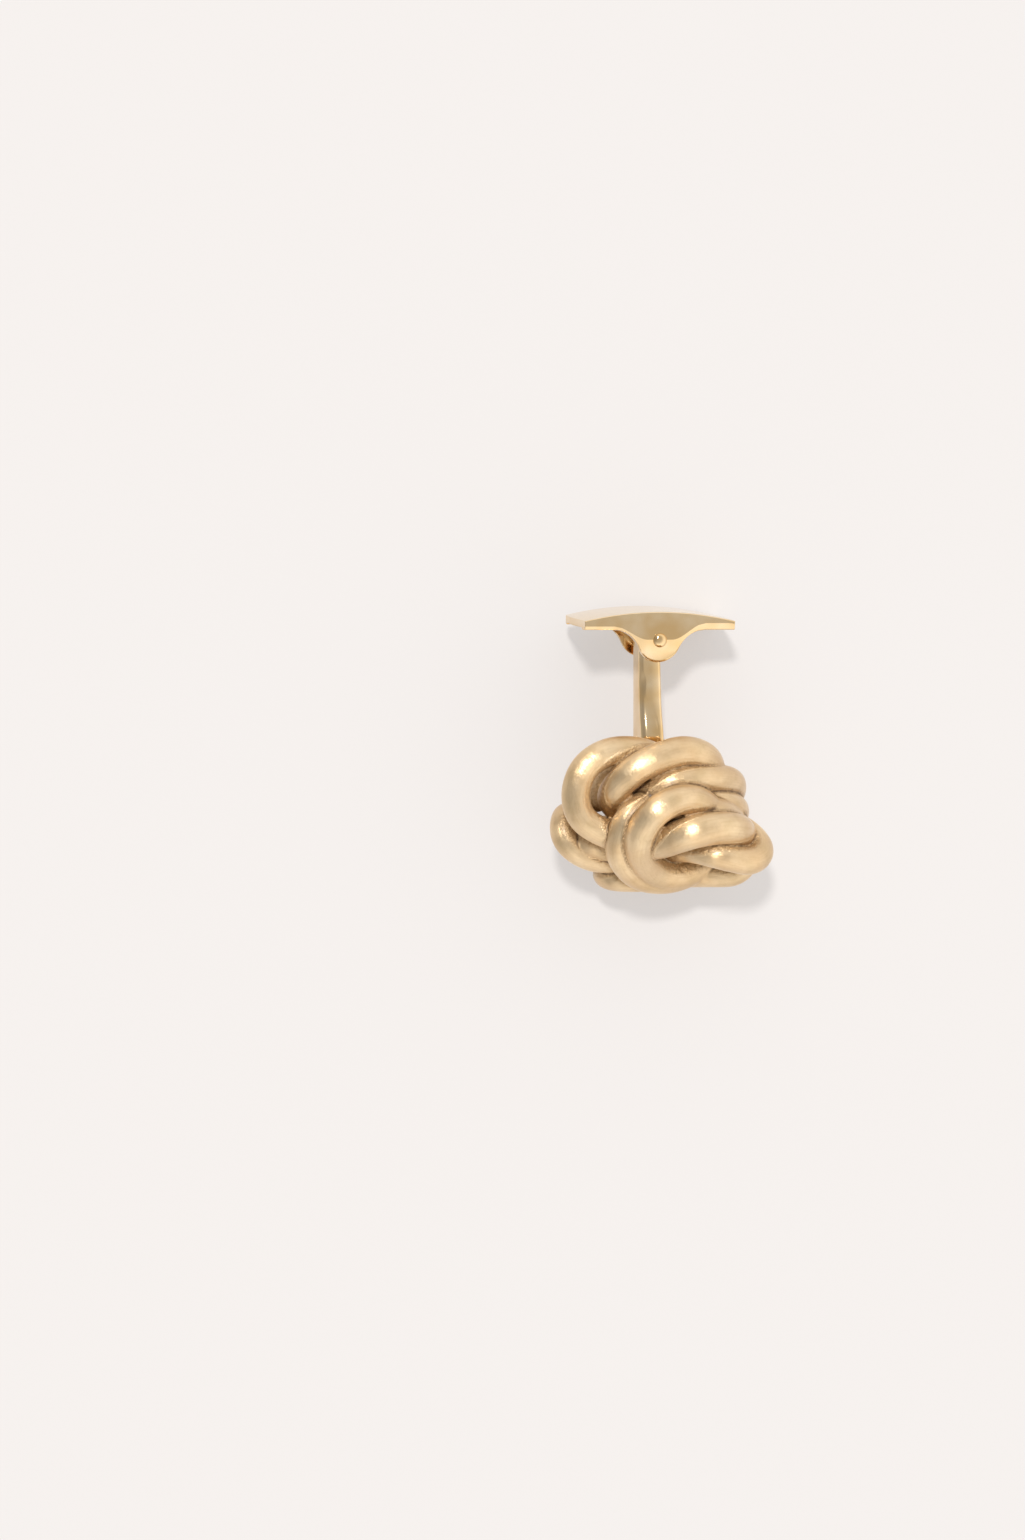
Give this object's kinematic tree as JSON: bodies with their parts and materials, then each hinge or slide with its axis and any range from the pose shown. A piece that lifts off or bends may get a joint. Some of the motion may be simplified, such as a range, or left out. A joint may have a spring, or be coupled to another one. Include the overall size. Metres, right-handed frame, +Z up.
{
  "type": "knot cufflink with swivel bar",
  "caption": "Gold-tone cufflink: a cast knot of thick round wire on a flat post, with a hinged swivel bar that locks it in the cuff.",
  "frame": {"origin": "on the surface that the cufflink lies on, under the middle of its outline", "axes": "+Z up from that surface; +Y from the knot along the post towards the swivel bar; +X to the right, along the bar"},
  "size_m": [0.024, 0.0322, 0.0176],
  "materials": {
    "satin_gold": "gold-plated, satin-brushed over a cast skin that stays grainy in the hollows",
    "polished_gold": "gold-plated and polished, with fine wear scratches"
  },
  "bodies": {
    "cufflink": {"knot_head": "satin_gold"},
    "toggle": {"swivel_bar": "polished_gold", "hinge_pin": "polished_gold"}
  },
  "joints": [
    {"name": "bar_swivel", "type": "hinge", "parent": "cufflink", "child": "toggle", "pos_m": [-0.00063, 0.01211, 0.00593], "axis": [0.198, -0.2021, 0.9591], "range_deg": [-90, 87]}
  ]
}
